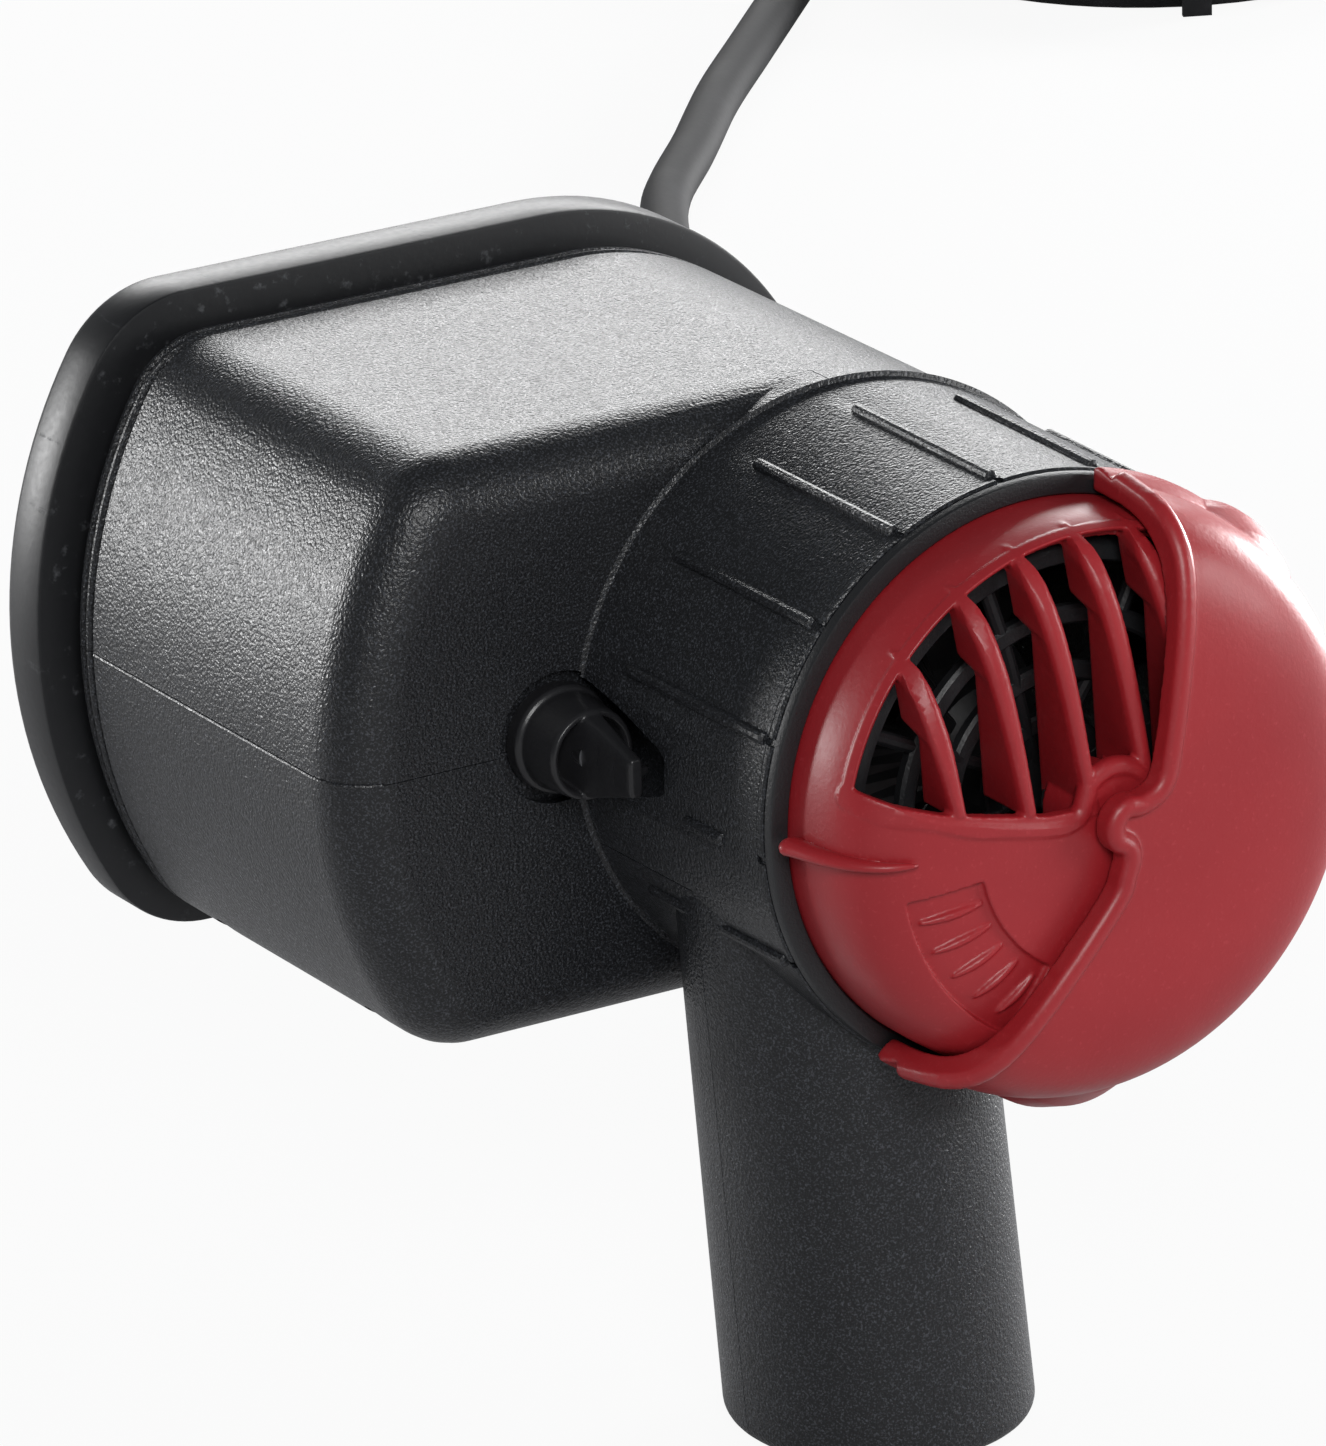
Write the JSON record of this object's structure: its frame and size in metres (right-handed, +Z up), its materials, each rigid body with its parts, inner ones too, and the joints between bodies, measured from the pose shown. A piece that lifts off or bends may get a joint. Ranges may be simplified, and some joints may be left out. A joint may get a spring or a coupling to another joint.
{
  "type": "car dryer blower",
  "caption": "Hand-held car dryer blower with a ribbed barrel, a wide outlet box, a louvred intake cap under a turning shutter, a speed knob and a lead with a lighter plug.",
  "frame": {"origin": "centre of the handle's flat foot", "axes": "+Z up, +Y the way the air leaves, +X to the right seen from the intake"},
  "size_m": [0.5635, 0.6094, 0.129],
  "materials": {
    "housing_black": "fine grained moulded plastic",
    "bezel_black": "smooth, lightly scratched",
    "grille_black": "smooth moulded",
    "mica": "heat-proof board",
    "fin_aluminium": "thin pressed fins",
    "inner_black": "plain moulded",
    "motor_steel": "zinc plated",
    "fan_white": "plain moulded",
    "fan_black": "plain moulded",
    "brass": "tinned brass tags",
    "screw_steel": "zinc plated",
    "guard_black": "fine moulded",
    "cap_red": "satin pigmented plastic",
    "knob_black": "satin moulded",
    "cord_black": "smooth PVC sheath",
    "plug_black": "moulded",
    "contact_nickel": "nickel plated"
  },
  "bodies": {
    "root": {"upper_shell": "housing_black", "lower_shell": "housing_black", "outlet_bezel": "bezel_black", "outlet_grille": "grille_black", "heater_frame": "mica", "heater_core": "fin_aluminium", "thermal_cutout": "mica", "motor_mount": "inner_black", "motor_can": "motor_steel", "motor_end_cap": "fan_white", "motor_terminals": "brass", "motor_screws": "screw_steel", "intake_guard": "guard_black", "louvre_cap": "cap_red", "rotary_switch": "inner_black", "switch_terminals": "brass", "housing_screws": "screw_steel", "strain_relief": "cord_black", "cord_lead": "cord_black", "cord_coil": "cord_black", "cord_tie": "cord_black", "plug_sleeve": "cord_black", "plug_body": "plug_black", "plug_tip": "contact_nickel", "plug_springs": "contact_nickel"},
    "shutter_body": {"shutter": "cap_red", "shutter_clip": "screw_steel"},
    "knob_body": {"speed_knob": "knob_black", "switch_shaft": "motor_steel"},
    "fan_body": {"fan_impeller": "fan_black", "motor_shaft": "motor_steel"}
  },
  "joints": [
    {"name": "shutter_turn", "type": "hinge", "parent": "root", "child": "shutter_body", "pos_m": [0.0124, -0.03, 0.0867], "axis": [0, -1, 0], "range_deg": [-50, 100]},
    {"name": "knob_turn", "type": "hinge", "parent": "root", "child": "knob_body", "pos_m": [-0.029, 0.01, 0.0877], "axis": [0, -1, 0], "range_deg": [-45, 45]},
    {"name": "fan_spin", "type": "hinge", "parent": "root", "child": "fan_body", "pos_m": [0.0124, 0, 0.0867], "axis": [0, -1, 0], "continuous": true}
  ]
}
